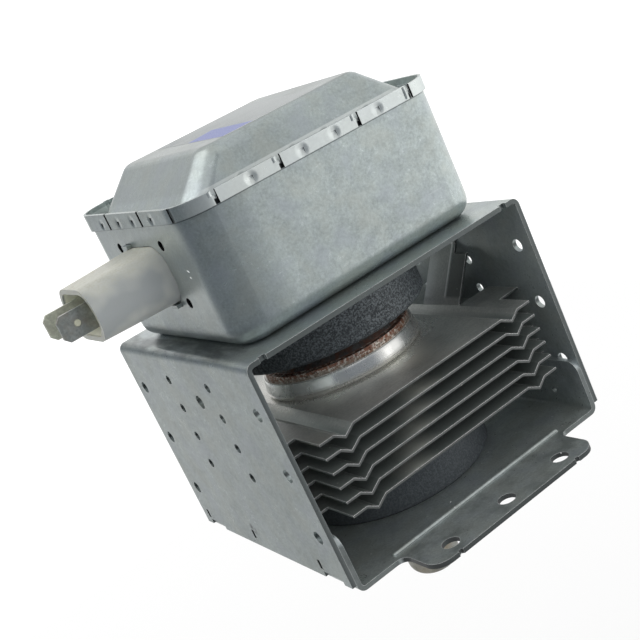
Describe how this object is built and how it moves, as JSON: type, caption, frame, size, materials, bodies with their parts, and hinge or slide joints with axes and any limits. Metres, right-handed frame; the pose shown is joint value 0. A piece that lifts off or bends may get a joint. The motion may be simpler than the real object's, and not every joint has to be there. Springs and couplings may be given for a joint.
{
  "type": "magnetron",
  "caption": "Packaged oven magnetron: filter box with blade terminals over a steel yoke with ring magnets, cooling fins, a mounting plate and an antenna.",
  "frame": {"origin": "on the tube's axis, at the underside of the mounting plate, in the middle of the corner bolt holes", "axes": "+Z along the tube's axis from the antenna to the filter box, -X towards the blade terminals, -Y towards the open front of the yoke"},
  "size_m": [0.102, 0.1028, 0.1299],
  "materials": {
    "zinc_steel": "satin zinc",
    "ferrite": "speckled matt",
    "fin_aluminium": "rolled",
    "anode_copper": "tarnished copper",
    "cap_steel": "dull",
    "antenna_steel": "heat tinted",
    "pole_iron": "machined",
    "ceramic": "glazed",
    "cream_plastic": "moulded",
    "tinned_brass": "tinned",
    "capacitor_resin": "potted",
    "mesh_gasket": "knitted wire",
    "choke_ferrite": "sintered",
    "enamelled_wire": "enamelled",
    "tungsten": "drawn",
    "label_foil": "printed foil"
  },
  "bodies": {
    "root": {"upper_yoke": "zinc_steel", "lower_yoke": "zinc_steel", "lower_magnet": "ferrite", "upper_magnet": "ferrite", "cooling_fin_1": "fin_aluminium", "cooling_fin_2": "fin_aluminium", "cooling_fin_3": "fin_aluminium", "cooling_fin_4": "fin_aluminium", "cooling_fin_5": "fin_aluminium", "cooling_fin_6": "fin_aluminium", "anode_shell": "anode_copper", "anode_vanes": "anode_copper", "strap_rings_lower": "anode_copper", "strap_rings_upper": "anode_copper", "upper_pole_piece": "pole_iron", "lower_pole_piece": "pole_iron", "upper_seal_cap": "cap_steel", "lower_seal_cap": "cap_steel", "cathode_filament": "tungsten", "upper_end_shield": "tungsten", "lower_end_shield": "tungsten", "cathode_center_lead": "tungsten", "cathode_side_lead": "tungsten", "stem_ceramic": "ceramic", "antenna_lead": "anode_copper", "antenna_ceramic": "ceramic", "antenna_cap": "antenna_steel", "rf_gasket": "mesh_gasket", "filter_box": "zinc_steel", "filter_lid": "zinc_steel", "lid_label": "label_foil", "box_rivets": "zinc_steel", "terminal_insulator": "cream_plastic", "capacitor_ground_plate": "zinc_steel", "capacitor_body": "capacitor_resin", "terminal_front": "tinned_brass", "terminal_rear": "tinned_brass", "choke_core_a": "choke_ferrite", "choke_core_b": "choke_ferrite", "choke_coil_a": "enamelled_wire", "choke_coil_b": "enamelled_wire"}
  },
  "joints": []
}
